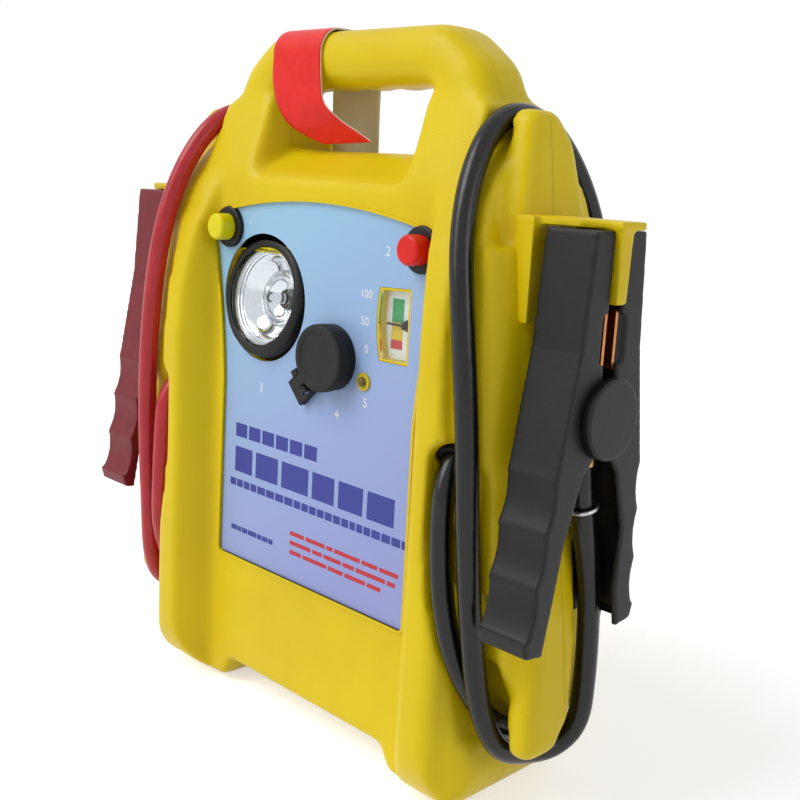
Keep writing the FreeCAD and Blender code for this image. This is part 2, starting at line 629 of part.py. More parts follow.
def socket_cap():
    """Rubber cap with a plug, a raised face and a hinge ear."""
    gap = 0.3
    front = -FLANGE_T - gap
    disc = rod(CAP_R, on_socket(front - 7.2), on_socket(front))
    rims = [e for e in disc.Edges if abs(e.BoundBox.YMax - (PANEL_Y + front - 7.2)) < 0.01]
    disc = disc.makeFillet(1.6, rims)
    plug = rod(SOCKET_BORE_R - 0.5, on_socket(front - 1), on_socket(front + 5))
    dish = rod(CAP_R - 4, on_socket(front - 8), on_socket(front - 6.4))
    ear = rod(2.8, HINGE_C - CAP_AXIS * 3.1, HINGE_C + CAP_AXIS * 3.1)
    arm = outline("xz", (12, -3.1), (HINGE_OUT, -3.1), (HINGE_OUT, 3.1), (12, 3.1))
    arm = pull(arm, HINGE_C.y - 2.8, HINGE_C.y)
    arm.rotate(V(0, 0, 0), Y, -math.degrees(CAP_WAY))
    arm.translate(V(SOCKET_X, 0, SOCKET_Z))
    cap = fuse(disc, plug, ear, arm).cut(rod(1.2 + FIT, HINGE_C - CAP_AXIS * 5, HINGE_C + CAP_AXIS * 5))
    return cap.cut(dish)


def cap_hinge_pin():
    return rod(1.2, HINGE_C - CAP_AXIS * 7.2, HINGE_C + CAP_AXIS * 7.2)


# ---- battery ----------------------------------------------------------------------------
BATTERY_X = BATTERY[0] / 2
BATTERY_Y0 = PANEL_Y + PANEL_T + PANEL_BACKING + 2.5
BATTERY_Y1 = BATTERY_Y0 + BATTERY[1]
BATTERY_Z0 = 17 + WALL + BATTERY_PAD
BATTERY_TOP = BATTERY_Z0 + BATTERY[2]
POST_X, POST_Y = 62.0, 2.0
POST_H = 7.0


def battery():
    """Sealed lead-acid battery with a moulded lid."""
    block = box(-BATTERY_X, BATTERY_X, BATTERY_Y0, BATTERY_Y1, BATTERY_Z0, BATTERY_TOP - 4)
    block = block.makeFillet(2.0, [e for e in block.Edges if e.BoundBox.ZLength > 50])
    lid = box(-BATTERY_X + 2, BATTERY_X - 2, BATTERY_Y0 + 2, BATTERY_Y1 - 2, BATTERY_TOP - 5,
              BATTERY_TOP)
    return fuse(block, lid)


def battery_posts():
    posts = [box(s * POST_X - 6, s * POST_X + 6, POST_Y - 6, POST_Y + 6, BATTERY_TOP,
                 BATTERY_TOP + POST_H) for s in (-1, 1)]
    return Part.makeCompound(posts)


def battery_pads():
    """Foam under and behind the battery."""
    under = box(-80, 80, BATTERY_Y0, BATTERY_Y1 - 1, 17 + WALL, BATTERY_Z0)
    behind = box(-80, 80, BATTERY_Y1, CASE_BACK - WALL, 40, 160)
    ahead = box(-70, 70, BATTERY_Y0 - 2.5, BATTERY_Y0, 90, 160)
    return Part.makeCompound([under, behind, ahead])


def battery_strap():
    """Steel hold-down over the battery's lid, fixed to the back."""
    top = box(-10, 10, BATTERY_Y0 - 1.4, CASE_BACK - WALL, BATTERY_TOP, BATTERY_TOP + 1.4)
    leg = box(-10, 10, BATTERY_Y0 - 1.4, BATTERY_Y0, 165, BATTERY_TOP + 1.4)
    tab = box(-10, 10, CASE_BACK - WALL - 1.4, CASE_BACK - WALL, BATTERY_TOP, BATTERY_TOP + 16)
    return fuse(top, leg, tab)


def battery_lug():
    """Brass lug: a plate on the post and a barrel round the lead's end."""
    top = BATTERY_TOP + POST_H
    plate = box(POST_X - 6, POST_X + 8, POST_Y - 5, POST_Y + 5, top, top + 1.5)
    start = V(*LEAD[0])
    way = V(*LEAD[1]) - start
    way.normalize()
    barrel = rod(CABLE_D / 2 + 1.2, start - way * 2, start + way * 10)
    return fuse(barrel, plate).cut(rod(CABLE_D / 2, start, start + way * 20))


# ---- clamp holder -----------------------------------------------------------------------
def clamp_holder():
    """Bracket on the cheek: a plate, an arm out over the clamp and the tongue it grips."""
    plate = box(120, 138, -31, 0, 250, 297.5)
    arm = box(120, 177, -27, -2, CLAMP_TOP + 0.4, 297.5)
    nose = outline("xy", (160, -28), (178, -28), (178, -21), ((172, -20.5), (160, -27)))
    arm = arm.cut(pull(nose, 290, 300))
    t0, t1 = CLAMP_Y - TONGUE_T / 2, CLAMP_Y + TONGUE_T / 2
    tongue = outline("yz", (t0, 296), (t1, 296), (t1 - 1.2, TONGUE_BOTTOM), (t0 + 1.2, TONGUE_BOTTOM))
    beside = box(100, 127.5, -40, 40, 240, 300)
    body = fuse(plate, arm, pull(tongue, 152, 176)).cut([wing(0), beside])
    return largest(body).cut(holder_holes())


def holder_screws():
    """Two screws through the plate into the cheek."""
    return [fuse(rod(HOLDER_SCREW_R, at(126, HOLDER_SCREW_Y, z), at(139, HOLDER_SCREW_Y, z)),
                 rod(3.6, at(138, HOLDER_SCREW_Y, z), at(139.6, HOLDER_SCREW_Y, z)))
            for z in HOLDER_SCREW_Z]


def holder_holes():
    return [rod(HOLDER_SCREW_R, at(110, HOLDER_SCREW_Y, z), at(138, HOLDER_SCREW_Y, z))
            for z in HOLDER_SCREW_Z]


# ---- clamp ------------------------------------------------------------------------------
PIVOT = V(0, CLAMP_Y, CLAMP_Z)


def lever_side(sign, splay, jaw):
    """Side view of one lever: sign -1 is the front one, +1 the rear one."""
    y = lambda d: CLAMP_Y + sign * d
    tip = splay
    outer = [(y(18.6), CLAMP_TOP), (y(22.5), 242), (y(27), 217), (y(31.5), 192)]
    for k in range(3):
        top, low = 188 - 24 * k, 166 - 24 * k
        d0, d1 = 32.5 + (tip - 32.5) * k / 3, 32.5 + (tip - 32.5) * (k + 0.9) / 3
        outer += [(y(d0), top), ((y((d0 + d1) / 2 - 2.2), (top + low) / 2), (y(d1), low))]
    outer += [(y(tip + 1.5), 117), (y(tip - 0.5), 110), (y(tip - 12), 108.5)]
    inner = [(y(tip - 16), 128), (y(22), 158), (y(13), 186), (y(4), 196), (y(4), 224),
             (y(jaw), 232), (y(jaw), CLAMP_TOP)]
    return outline("yz", *outer, *inner)


def eye_rod(radius, x0, x1):
    return rod(radius, PIVOT + X * x0, PIVOT + X * x1)


def lever(sign, splay, jaw, wall, eye_inset):
    """Channel-shaped lever with two eyes; eye_inset moves the eyes in from its sides."""
    block = pull(lever_side(sign, splay, jaw), CLAMP_IN, CLAMP_OUT)
    hollow = pull(lever_side(sign, splay, jaw), CLAMP_IN + wall, CLAMP_OUT - wall)
    hollow.translate(V(0, -sign * 4.0, -3.0 if sign > 0 else 0))
    keep = box(CLAMP_IN, CLAMP_OUT, CLAMP_Y - 60, CLAMP_Y + 60, 229, BIG)
    block = block.cut(hollow.cut(keep))
    block = block.cut(eye_rod(CLAMP_EYE_R + SLIP, 0, BIG))
    eyes = []
    for x0 in (CLAMP_IN + eye_inset, CLAMP_OUT - eye_inset - wall):
        eye = eye_rod(CLAMP_EYE_R, x0, x0 + wall)
        link = pull(outline("yz", (CLAMP_Y, 203.5), (CLAMP_Y + sign * 19, 203.5),
                            (CLAMP_Y + sign * 19, 220.5), (CLAMP_Y, 220.5)), x0, x0 + wall)
        eyes += [eye, link]
    return fuse(block, *eyes).cut(eye_rod(CLAMP_PIN_R + FIT, 0, BIG))


def clamp_front():
    front = lever(-1, 43.5, TONGUE_T / 2 + 0.3, CLAMP_WALL - SLIP, 0)
    past_cheek = outline("yz", (-38.5, 184), (-52.8, 100), (0, 100), (0, 184))
    front = front.cut(pull(past_cheek, CLAMP_IN - 1, CHEEK_PASS))
    dimple = rod(7.5, at(158.7, -60, 271), at(158.7, -36.0, 271))
    return front.cut(dimple.cut(rod(6.6, at(158.7, -60, 271), at(158.7, -30, 271))))


def clamp_rear():
    return lever(1, 37.0, TONGUE_T / 2, CLAMP_WALL, CLAMP_WALL)


def clamp_pin():
    """Pivot with its big outer disc and a small inner head."""
    disc = eye_rod(18.5, CLAMP_OUT + 0.3, CLAMP_OUT + 4.5)
    rims = [e for e in disc.Edges if e.BoundBox.XMin > CLAMP_OUT + 4]
    disc = disc.makeFillet(1.5, rims)
    return fuse(disc, eye_rod(CLAMP_PIN_R, CLAMP_IN - 1.3, CLAMP_OUT + 1),
                eye_rod(5.0, CLAMP_IN - 1.3, CLAMP_IN - 0.3))


def clamp_spring():
    """Torsion spring coiled on the pivot, with a leg against each lever."""
    x0, x1 = CLAMP_IN + 7.5, CLAMP_OUT - 7.5
    turns = 6
    coils = [Part.makeTorus(6.0, 1.15, PIVOT + X * (x0 + (x1 - x0) * k / (turns - 1)), X)
             for k in range(turns)]
    sleeve = eye_rod(6.0, x0, x1).cut(eye_rod(4.8, x0, x1))
    return fuse(sleeve, *coils)


def jaw_plate(sign):
    """Copper strip inside one jaw, below the tongue, seated on the lever's block."""
    y = lambda d: CLAMP_Y + sign * d
    seat = TONGUE_T / 2 + (0.3 if sign < 0 else 0)
    strip = outline("yz", (y(seat - 1.8), 259), (y(seat - 1.8), 236), (y(seat), 233), (y(seat), 259))
    return pull(strip, CLAMP_IN + 4, CLAMP_OUT - 2)


def clamp_ferrule():
    """Brass ferrule that grips the lead's end, with its strap up to the rear jaw."""
    end, before = V(*LEAD[-1]), V(*LEAD[-2])
    way = end - before
    way.normalize()
    sleeve = rod(CABLE_D / 2 + 1.0, end - way * 9, end + way * 3)
    return sleeve.cut(rod(CABLE_D / 2, end - way * 20, end))


def cable_ring():
    """Wire loop that keeps the lead in the rear handle."""
    a, b = V(*LEAD[-3]), V(*LEAD[-2])
    way = b - a
    way.normalize()
    loop = Part.makeTorus(CABLE_D / 2 + 1.3, 1.1, a + way * 5, way)
    return loop


# ---- leads ------------------------------------------------------------------------------
def lead(points):
    """Tube along straight runs joined by tangent arcs; also its length and arc radii."""
    pts = [V(*p) for p in points]
    edges, radii, here = [], [], pts[0]
    for before, corner, after in zip(pts, pts[1:], pts[2:]):
        into, out = corner - before, after - corner
        reach = 0.45 * min(into.Length, out.Length)
        turn = into.getAngle(out)
        radii.append(reach / math.tan(turn / 2))
        into.normalize()
        out.normalize()
        first, last = corner - into * reach, corner + out * reach
        centre_way = (out - into).normalize()
        sag = radii[-1] * (1 / math.cos(turn / 2) - 1)
        middle = corner + centre_way * sag
        edges.append(Part.LineSegment(here, first).toShape())
        edges.append(Part.Arc(first, middle, last).toShape())
        here = last
    edges.append(Part.LineSegment(here, pts[-1]).toShape())
    path = Part.Wire(edges)
    start_way = (pts[1] - pts[0]).normalize()
    section = Part.Wire(Part.makeCircle(CABLE_D / 2, pts[0], start_way))
    tube = path.makePipeShell([section], True, False)
    return tube, path.Length, radii


# ---- warning tag ------------------------------------------------------------------------
# Left and right edge of the tag's two tails, each as x, how far outside the grip's side, and z.
TAG_BACK = [((-56, 2.6, 319), (-18, 2.6, 319)), ((-56, 2.2, 330), (-18, 2.2, 330)),
            ((-56.5, 1.9, 342), (-18, 1.9, 342)), ((-57, 1.8, 356), (-18, 1.8, 356))]
TAG_FRONT = [((-56.5, 1.8, 358), (-16.5, 1.8, 358)), ((-52, 1.8, 345), (-13.5, 1.8, 346)),
             ((-44.5, -0.5, 335), (-7, -3.5, 338)), ((-36, -5, 329.5), (1, -9.5, 332)),
             ((-25, -9.5, 325), (8, -14, 327))]


def tag_edges():
    """The two tails, joined by the tag's turn around the grip's rounded top."""
    r = GRIP_ROUND + TAG_SLACK + TAG_T
    y0, z0 = GRIP_DEPTH / 2 - GRIP_ROUND, CASE_TOP - GRIP_ROUND
    half = GRIP_DEPTH / 2

    def placed(tail, side):
        return [tuple((x, side * (half + out), z) for x, out, z in pair) for pair in tail]

    over = []
    for side in (1, -1):
        for step in (0, 1, 2, 3) if side > 0 else (3, 2, 1, 0):
            turn = math.radians(30 * step)
            y, z = side * (y0 + r * math.cos(turn)), z0 + r * math.sin(turn)
            over.append(((TAG_LEFT, y, z), (TAG_RIGHT, y, z)))
    return placed(TAG_BACK, 1) + over + placed(TAG_FRONT, -1)


def handle_tag():
    """Soft tag looped over the grip; its two tails hang down and turn in the hand hole."""
    edges = tag_edges()
    sections = []
    for place, (left, right) in enumerate(edges):
        before, after = edges[max(place - 1, 0)][0], edges[min(place + 1, len(edges) - 1)][0]
        left, right = V(*left), V(*right)
        inwards = (right - left).cross(V(*after) - V(*before)).normalize() * TAG_T
        sections.append(Part.makePolygon([left, right, right + inwards, left + inwards, left]))
    return Part.makeLoft(sections, True, True)


def parts():
    front, rear = shells()
    made = {"front_shell": front, "rear_shell": rear, "case_screws": case_screws(),
            "front_label": front_label(), "gauge_case": gauge_case(),
            "gauge_dial": gauge_dial(),
            "gauge_movement": gauge_mount(), "gauge_needle": gauge_needle(),
            "gauge_window": gauge_window(), "charge_led": charge_led(), "led_clip": led_clip(),
            "circuit_board": circuit_board(), "lamp_bowl": lamp_bowl(),
            "lamp_housing": lamp_housing(), "lamp_lens": lamp_lens(),
            "lamp_reflector": lamp_reflector(), "lamp_bulb": lamp_bulb(),
            "socket_body": socket_body(), "socket_liner": socket_liner(),
            "socket_contact": socket_contact(), "socket_nut": socket_nut(),
            "socket_cap": socket_cap(), "cap_hinge_pin": cap_hinge_pin(),
            "battery": battery(), "battery_posts": battery_posts(),
            "battery_pads": battery_pads(), "battery_strap": battery_strap()}
    for name, x in (("light", -BUTTON_X), ("status", BUTTON_X)):
        made[name + "_bezel"] = bezel(x)
        made[name + "_switch"] = switch_block(x)
        made[name + "_button"] = button(x)
    tube, length, radii = lead(LEAD)
    section = math.pi * CABLE_D ** 2 / 4
    print("lead: length %.0f, volume over section %.0f" % (length, tube.Volume / section))
    print("lead radii:", [round(r) for r in radii])
    sided = {"cable": tube, "battery_lug": battery_lug(), "clamp_holder": clamp_holder(),
             "clamp_front": clamp_front(), "clamp_rear": clamp_rear(), "clamp_pin": clamp_pin(),
             "clamp_spring": clamp_spring(), "jaw_front": jaw_plate(-1), "jaw_rear": jaw_plate(1)}
    for name, shape in sided.items():
        made["black_" + name] = shape
        made["red_" + name] = mirrored(shape)
    pairs = {"lead_grommets": [ring(GROMMET_R, CABLE_D / 2, *grommet_ends(3.5))],
             "holder_screws": holder_screws(), "lead_ferrules": [clamp_ferrule()],
             "cable_rings": [cable_ring()]}
    for name, shapes in pairs.items():
        made[name] = Part.makeCompound([s for shape in shapes for s in both(shape)])
    made["handle_tag"] = handle_tag()
    return made


if __name__ == "__main__":
    os.makedirs("parts", exist_ok=True)
    for name, shape in parts().items():
        if not shape.isValid() or not shape.Solids:
            print("not valid:", name, len(shape.Solids))
        shape.exportStep("parts/%s.step" % name)
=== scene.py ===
"""Looks of a portable jump starter: case skins, printed panel, lamp, outlet, clamps and leads.

Units are metres, in the model's own frame: origin on the ground, -Y the front, +Z up.
"""
import math

import bmesh
import bpy
from mathutils import Matrix, Vector
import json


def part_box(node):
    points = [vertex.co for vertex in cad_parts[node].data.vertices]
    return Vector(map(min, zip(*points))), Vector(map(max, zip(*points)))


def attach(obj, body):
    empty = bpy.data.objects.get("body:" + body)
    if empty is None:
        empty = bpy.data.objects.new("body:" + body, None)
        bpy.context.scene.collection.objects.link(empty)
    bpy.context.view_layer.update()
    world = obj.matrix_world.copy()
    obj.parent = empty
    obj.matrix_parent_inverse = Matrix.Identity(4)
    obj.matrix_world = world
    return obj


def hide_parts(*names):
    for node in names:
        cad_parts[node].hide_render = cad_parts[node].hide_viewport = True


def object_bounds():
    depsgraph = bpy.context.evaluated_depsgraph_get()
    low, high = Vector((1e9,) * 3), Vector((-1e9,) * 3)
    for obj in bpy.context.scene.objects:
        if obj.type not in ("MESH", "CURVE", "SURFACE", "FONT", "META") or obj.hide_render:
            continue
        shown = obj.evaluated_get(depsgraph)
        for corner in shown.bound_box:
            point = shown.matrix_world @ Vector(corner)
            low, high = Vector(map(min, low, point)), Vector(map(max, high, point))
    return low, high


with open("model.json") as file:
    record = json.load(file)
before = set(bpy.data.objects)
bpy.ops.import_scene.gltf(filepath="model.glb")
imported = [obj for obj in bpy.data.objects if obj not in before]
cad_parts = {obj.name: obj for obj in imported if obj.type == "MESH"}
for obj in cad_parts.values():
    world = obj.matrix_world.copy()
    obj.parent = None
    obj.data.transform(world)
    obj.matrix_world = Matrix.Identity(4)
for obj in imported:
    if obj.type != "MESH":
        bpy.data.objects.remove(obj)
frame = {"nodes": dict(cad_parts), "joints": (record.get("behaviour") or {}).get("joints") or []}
cad_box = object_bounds()

MM = 0.001
NODES = frame["nodes"]

# ---- camera and surroundings --------------------------------------------------------------
EYE = Vector((0.4396158, -0.4167564, 0.3118471))
EYE_RIGHT = Vector((0.70625482, 0.70564338, 0.05719631))
EYE_UP = Vector((-0.18142314, 0.10230241, 0.97806946))
EYE_BACK = Vector((0.68431691, -0.7011431, 0.20027162))
EYE_LENS = 49.75                    # on a 36 mm square sensor
WORLD_LIGHT = 0.3                   # strength of the room's even light
FLOOR_LIFT = 0.55                   # what lifts the paper to white where no shadow lies
SUN = ((-0.35, -0.62, 0.75), 1.5, math.radians(35))     # where it stands, strength, width
LAMPS = (("front", (-0.7, -1.6, 0.9), 0.8, 5), ("side", (1.7, 0.1, 0.8), 0.8, 4))


def make_camera():
    data = bpy.data.cameras.new("camera")
    data.lens, data.sensor_width, data.clip_start = EYE_LENS, 36.0, 0.01
    camera = bpy.data.objects.new("camera", data)
    turn = Matrix((EYE_RIGHT, EYE_UP, EYE_BACK)).transposed().to_4x4()
    camera.matrix_world = Matrix.Translation(EYE) @ turn
    bpy.context.scene.collection.objects.link(camera)
    bpy.context.scene.camera = camera


# ---- the leads ----------------------------------------------------------------------------
LEAD_D = 11 * MM
LEAD = [(72, 2, 200), (92, -11, 200), (107, -30, 195), (114, -50.5, 177), (114.5, -51.8, 150),
        (117.5, -51, 118), (123.5, -47, 89), (131.5, -34, 62), (134, -14, 45.5),
        (134, 14, 46), (135.5, 36, 65), (134.5, 49.5, 96), (131.5, 53.2, 140), (128, 54, 190),
        (122, 54.4, 240), (115, 51.6, 284), (109.5, 40.5, 314), (106, 18.5, 337.5),
        (105.7, -8, 343.5), (106, -27.5, 334), (109.5, -43, 311), (114.5, -51.5, 283),
        (121.5, -54.2, 249), (128.5, -54, 200), (131.5, -52.2, 150), (134.5, -47.8, 102),
        (139, -43.5, 67), (143.8, -33.5, 46.5), (145.8, -15, 40), (151, 2.5, 39.5), (157.3, 12, 52),
        (157.5, 13, 76), (157.5, 12, 100), (158.5, 7.5, 128), (159.5, -5, 162), (160, -11, 184),
        (160, -11, 197)]


def make_lead(side, sign, jacket, clamp):
    """One jump lead: out of its notch, one and a half turns round the neck, up to its clamp."""
    points = [Vector((sign * x, y, z)) * MM for x, y, z in LEAD]
    curve = bpy.data.curves.new(side + "_lead", "CURVE")
    curve.dimensions = "3D"
    curve.bevel_depth = LEAD_D / 2
    curve.bevel_resolution = 6
    curve.resolution_u = 8
    curve.use_fill_caps = True
    spline = curve.splines.new("NURBS")
    spline.points.add(len(points) - 1)
    for point, place in zip(spline.points, points):
        point.co = (*place, 1)
    spline.order_u = 3
    spline.use_endpoint_u = True
    piece = bpy.data.objects.new(side + "_lead", curve)
    bpy.context.scene.collection.objects.link(piece)
    curve.materials.append(jacket)
    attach(piece, "case")
    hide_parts(side + "_cable")
    clamp += [NODES[side + "_" + part]
              for part in ("clamp_pin", "clamp_spring", "jaw_front", "jaw_rear")]


# ---- materials ----------------------------------------------------------------------------
def linear(code):
    """Linear colour, with alpha, from an sRGB hex code."""
    parts = [int(code[i:i + 2], 16) / 255 for i in (1, 3, 5)]
    return tuple(c / 12.92 if c <= 0.04045 else ((c + 0.055) / 1.055) ** 2.4 for c in parts) + (1,)


def add(tree, kind, sockets=(), **settings):
    """Add a node; a socket's value is a number or colour, or another node's output to link."""
    made = tree.nodes.new(kind)
    for name, value in settings.items():
        setattr(made, name, value)
    for name, value in dict(sockets).items():
        if isinstance(value, bpy.types.NodeSocket):
            tree.links.new(value, made.inputs[name])
        else:
            made.inputs[name].default_value = value
    return made


def start(name, colour, roughness, **sockets):
    """A material with its main shader set, its node tree, that shader and object coordinates."""
    material = bpy.data.materials.new(name)
    material.use_nodes = True
    tree = material.node_tree
    shader = tree.nodes["Principled BSDF"]
    shader.inputs["Base Color"].default_value = linear(colour)
    shader.inputs["Roughness"].default_value = roughness
    for label, value in sockets.items():
        shader.inputs[label.replace("_", " ")].default_value = value
    place = add(tree, "ShaderNodeTexCoord").outputs["Object"]
    return material, tree, shader, place


def vary(tree, place, size, low, high):
    """A colour that drifts between two hex colours in patches of about that size."""
    noise = add(tree, "ShaderNodeTexNoise", {"Vector": place, "Scale": 1 / size, "Detail": 3.0})
    ramp = add(tree, "ShaderNodeValToRGB", {"Fac": noise.outputs["Fac"]})
    ramp.color_ramp.elements[0].position, ramp.color_ramp.elements[1].position = 0.3, 0.7
    ramp.color_ramp.elements[0].color, ramp.color_ramp.elements[1].color = linear(low), linear(high)
    return ramp.outputs["Color"]


def grain(tree, shader, place, size, depth, edge=0.0):
    """Fine bumps of that size and depth, over edges that are eased by a small radius."""
    noise = add(tree, "ShaderNodeTexNoise", {"Vector": place, "Scale": 1 / size, "Detail": 2.0})
    bump = add(tree, "ShaderNodeBump", {"Height": noise.outputs["Fac"], "Distance": depth})
    if edge:
        eased = add(tree, "ShaderNodeBevel", {"Radius": edge}, samples=4)
        tree.links.new(eased.outputs["Normal"], bump.inputs["Normal"])
    tree.links.new(bump.outputs["Normal"], shader.inputs["Normal"])


def grained_abs():
    """Yellow ABS from a spark-eroded mould: soft sheen broken up by an even fine grain."""
    material, tree, shader, place = start("yellow_abs", "#E8CC00", 0.42, IOR=1.36)
    tree.links.new(vary(tree, place, 60 * MM, "#E2C500", "#EACF00"), shader.inputs["Base Color"])
    grain(tree, shader, place, 0.9 * MM, 0.10 * MM)
    return material


def moulded_plastic(name, low, high, roughness, size=0.7, depth=0.04):
    """Moulded nylon or ABS: faint mottling, satin grain and slightly eased edges."""
    material, tree, shader, place = start(name, low, roughness, IOR=1.36)
    tree.links.new(vary(tree, place, 9 * MM, low, high), shader.inputs["Base Color"])
    grain(tree, shader, place, size * MM, depth * MM, edge=0.7 * MM)
    return material


def cable_jacket(name, low, high, roughness):
    """Extruded PVC: smooth, faintly rippled along its length, with handling marks."""
    material, tree, shader, place = start(name, low, roughness, IOR=1.42)
    tree.links.new(vary(tree, place, 14 * MM, low, high), shader.inputs["Base Color"])
    grain(tree, shader, place, 5 * MM, 0.15 * MM)
    return material


def bare_metal(name, low, high, roughness):
    """Plated or bare metal: bright, with fine mottled roughness."""
    material, tree, shader, place = start(name, low, roughness, Metallic=1.0)
    tree.links.new(vary(tree, place, 1.5 * MM, low, high), shader.inputs["Base Color"])
    grain(tree, shader, place, 0.5 * MM, 0.01 * MM, edge=0.3 * MM)
    return material


def clear_plastic(name):
    """Clear polycarbonate: sharp reflections, nearly no tint."""
    material, tree, shader, place = start(name, "#F6FAFC", 0.03, IOR=1.3)
    shader.inputs["Transmission Weight"].default_value = 1.0
    return material


def printed_sheet(low_corner, high_corner):
    """Printed polycarbonate sheet: sky blue at the top left fading to lavender, satin-clear."""
    material, tree, shader, place = start("printed_panel", "#9FB4E0", 0.32, IOR=1.5)
    split = add(tree, "ShaderNodeSeparateXYZ", {"Vector": place})
    rise = add(tree, "ShaderNodeMapRange", {"Value": split.outputs["Z"], "From Min": low_corner.z,
                                            "From Max": high_corner.z})
    across = add(tree, "ShaderNodeMapRange", {"Value": split.outputs["X"], "From Min": low_corner.x,
                                              "From Max": high_corner.x, "To Min": 0.25,
                                              "To Max": -0.2})
    total = add(tree, "ShaderNodeMath", {0: rise.outputs[0], 1: across.outputs[0]})
    ramp = add(tree, "ShaderNodeValToRGB", {"Fac": total.outputs[0]})
    low, high = ramp.color_ramp.elements
    low.position, high.position = 0.0, 1.0
    low.color, high.color = linear("#96A0DC"), linear("#9DCBEC")
    middle = ramp.color_ramp.elements.new(0.45)
    middle.color = linear("#9AB0E2")
    tree.links.new(ramp.outputs["Color"], shader.inputs["Base Color"])
    grain(tree, shader, place, 0.6 * MM, 0.012 * MM)
    return material


def gauge_card(low_corner, high_corner):
    """White card with a printed band up it, left of its middle: red, yellow, green."""
    material, tree, shader, place = start("gauge_card", "#E8E8E4", 0.5)
    split = add(tree, "ShaderNodeSeparateXYZ", {"Vector": place})
    rise = add(tree, "ShaderNodeMapRange", {"Value": split.outputs["Z"], "From Min": low_corner.z,
                                            "From Max": high_corner.z})
    ramp = add(tree, "ShaderNodeValToRGB", {"Fac": rise.outputs[0]})
    ramp.color_ramp.interpolation = "CONSTANT"
    bands = ((0.0, "#E8E8E4"), (0.14, "#C82A2A"), (0.27, "#E2BE10"), (0.52, "#2E9E5B"),
             (0.86, "#E8E8E4"))
    while len(ramp.color_ramp.elements) < len(bands):
        ramp.color_ramp.elements.new(1.0)
    for element, (position, colour) in zip(ramp.color_ramp.elements, bands):
        element.position = position
        element.color = linear(colour)
    width = high_corner.x - low_corner.x
    right = add(tree, "ShaderNodeMath", {0: split.outputs["X"], 1: low_corner.x + 0.2 * width},
                operation="GREATER_THAN")
    left = add(tree, "ShaderNodeMath", {0: split.outputs["X"], 1: high_corner.x - 0.4 * width},
               operation="LESS_THAN")
    inside = add(tree, "ShaderNodeMath", {0: right.outputs[0], 1: left.outputs[0]},
                 operation="MULTIPLY")
    mix = add(tree, "ShaderNodeMix", {"Factor": inside.outputs[0]}, data_type="RGBA")
    mix.inputs["A"].default_value = linear("#E8E8E4")
    tree.links.new(ramp.outputs["Color"], mix.inputs["B"])
    tree.links.new(mix.outputs["Result"], shader.inputs["Base Color"])
    return material


def print_ink(name, colour):
    """Screen-printing ink: flat, slightly less glossy than the sheet."""
    material, tree, shader, place = start(name, colour, 0.5)
    tree.links.new(vary(tree, place, 4 * MM, colour, colour), shader.inputs["Base Color"])
    return material


# ---- small modelling helpers ----------------------------------------------------------------
SHARP = math.radians(40)            # an edge that turns more than this stays crisp


def finished(name, form, material, body, stands_for=(), smooth=True):
    """Make an object of a bmesh, attach it to the body it rides on, and hide the CAD nodes it stands
    for.
    """
    mesh = bpy.data.meshes.new(name)
    bmesh.ops.recalc_face_normals(form, faces=form.faces)
    form.to_mesh(mesh)
    form.free()
    mesh.materials.append(material)
    mesh.polygons.foreach_set("use_smooth", [smooth] * len(mesh.polygons))
    if smooth:
        mesh.set_sharp_from_angle(angle=SHARP)
    piece = bpy.data.objects.new(name, mesh)
    bpy.context.scene.collection.objects.link(piece)
    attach(piece, body)
    if stands_for:
        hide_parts(*stands_for)
    return piece


def block(form, low, high):
    """Add a box between two corners."""
    low, high = Vector(low), Vector(high)
    size = Matrix.Diagonal((*(high - low), 1))
    bmesh.ops.create_cube(form, size=1, matrix=Matrix.Translation((low + high) / 2) @ size)


def barrel(form, centre, radius, y_low, y_high, segments=64):
    """Add a cylinder along Y."""
    middle = Vector((centre[0], (y_low + y_high) / 2, centre[1]))
    turn = Matrix.Rotation(math.pi / 2, 4, "X")
    bmesh.ops.create_cone(form, cap_ends=True, segments=segments, radius1=radius, radius2=radius,
                          depth=y_high - y_low, matrix=Matrix.Translation(middle) @ turn)


def scratch(name, form):
    """A plain object of a bmesh, used up by a modifier and then removed."""
    mesh = bpy.data.meshes.new(name)
    form.to_mesh(mesh)
    form.free()
    made = bpy.data.objects.new(name, mesh)
    bpy.context.scene.collection.objects.link(made)
    return made


def settle(piece):
    """Turn a piece's modifiers into its mesh."""
    graph = bpy.context.evaluated_depsgraph_get()
    mesh = bpy.data.meshes.new_from_object(piece.evaluated_get(graph))
    piece.modifiers.clear()
    old, piece.data = piece.data, mesh
    bpy.data.meshes.remove(old)


def discard(piece):
    """Remove a scratch object and its mesh."""
    mesh = piece.data
    bpy.data.objects.remove(piece)
    bpy.data.meshes.remove(mesh)


def remeshed(piece, step, passes):
    """Rebuild a closed surface on an even grid, then smooth it."""
    remesh = piece.modifiers.new("remesh", "REMESH")
    remesh.mode, remesh.voxel_size = "VOXEL", step
    ease = piece.modifiers.new("ease", "SMOOTH")
    ease.factor, ease.iterations = 0.5, passes
    settle(piece)


def cut_out(piece, form):
    """Cut a bmesh of closed shapes out of a piece."""
    cutter = scratch("cutter", form)
    cut = piece.modifiers.new("cut", "BOOLEAN")
    cut.operation, cut.solver, cut.object = "DIFFERENCE", "EXACT", cutter
    settle(piece)
    discard(cutter)


# ---- case ---------------------------------------------------------------------------------
BEAD_W, BEAD_PROUD = 1.4 * MM, 2.1 * MM     # the lip round the panel
LAMP_STEPS = 96
LAMP_TILT = math.radians(8)         # how far the resting lamp looks up
